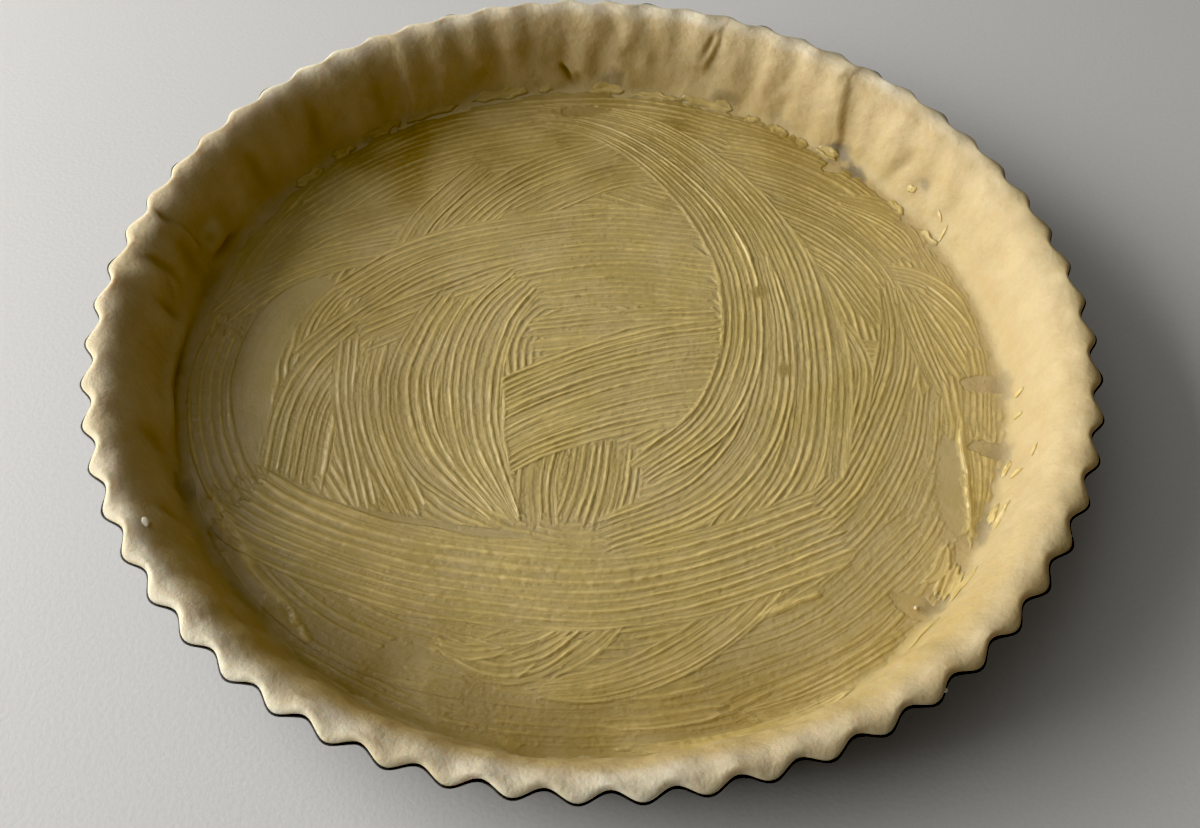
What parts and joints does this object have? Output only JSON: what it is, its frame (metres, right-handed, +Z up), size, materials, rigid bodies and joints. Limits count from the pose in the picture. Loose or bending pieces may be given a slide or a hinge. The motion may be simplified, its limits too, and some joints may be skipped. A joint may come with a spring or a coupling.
{
  "type": "unbaked quiche case in tin",
  "caption": "Round unbaked quiche: raw shortcrust pressed into a fluted dark metal tart tin, its flat floor brushed with ridged mustard, open on top for the filling.",
  "frame": {"origin": "The middle of the tin's underside, on the surface that the tin stands on.", "axes": "+Z up, out of the open case; +X to the right and -Y towards the viewer in the picture."},
  "size_m": [0.2798, 0.28, 0.0309],
  "materials": {
    "tin": "dark non-stick coated sheet, satin",
    "pastry": "raw cream-coloured dough, matte with a faint buttery sheen",
    "mustard": "thin wet mustard with brush ridges, satin"
  },
  "bodies": {
    "root": {"tin": "tin", "pastry": "pastry", "mustard": "mustard"}
  },
  "joints": []
}
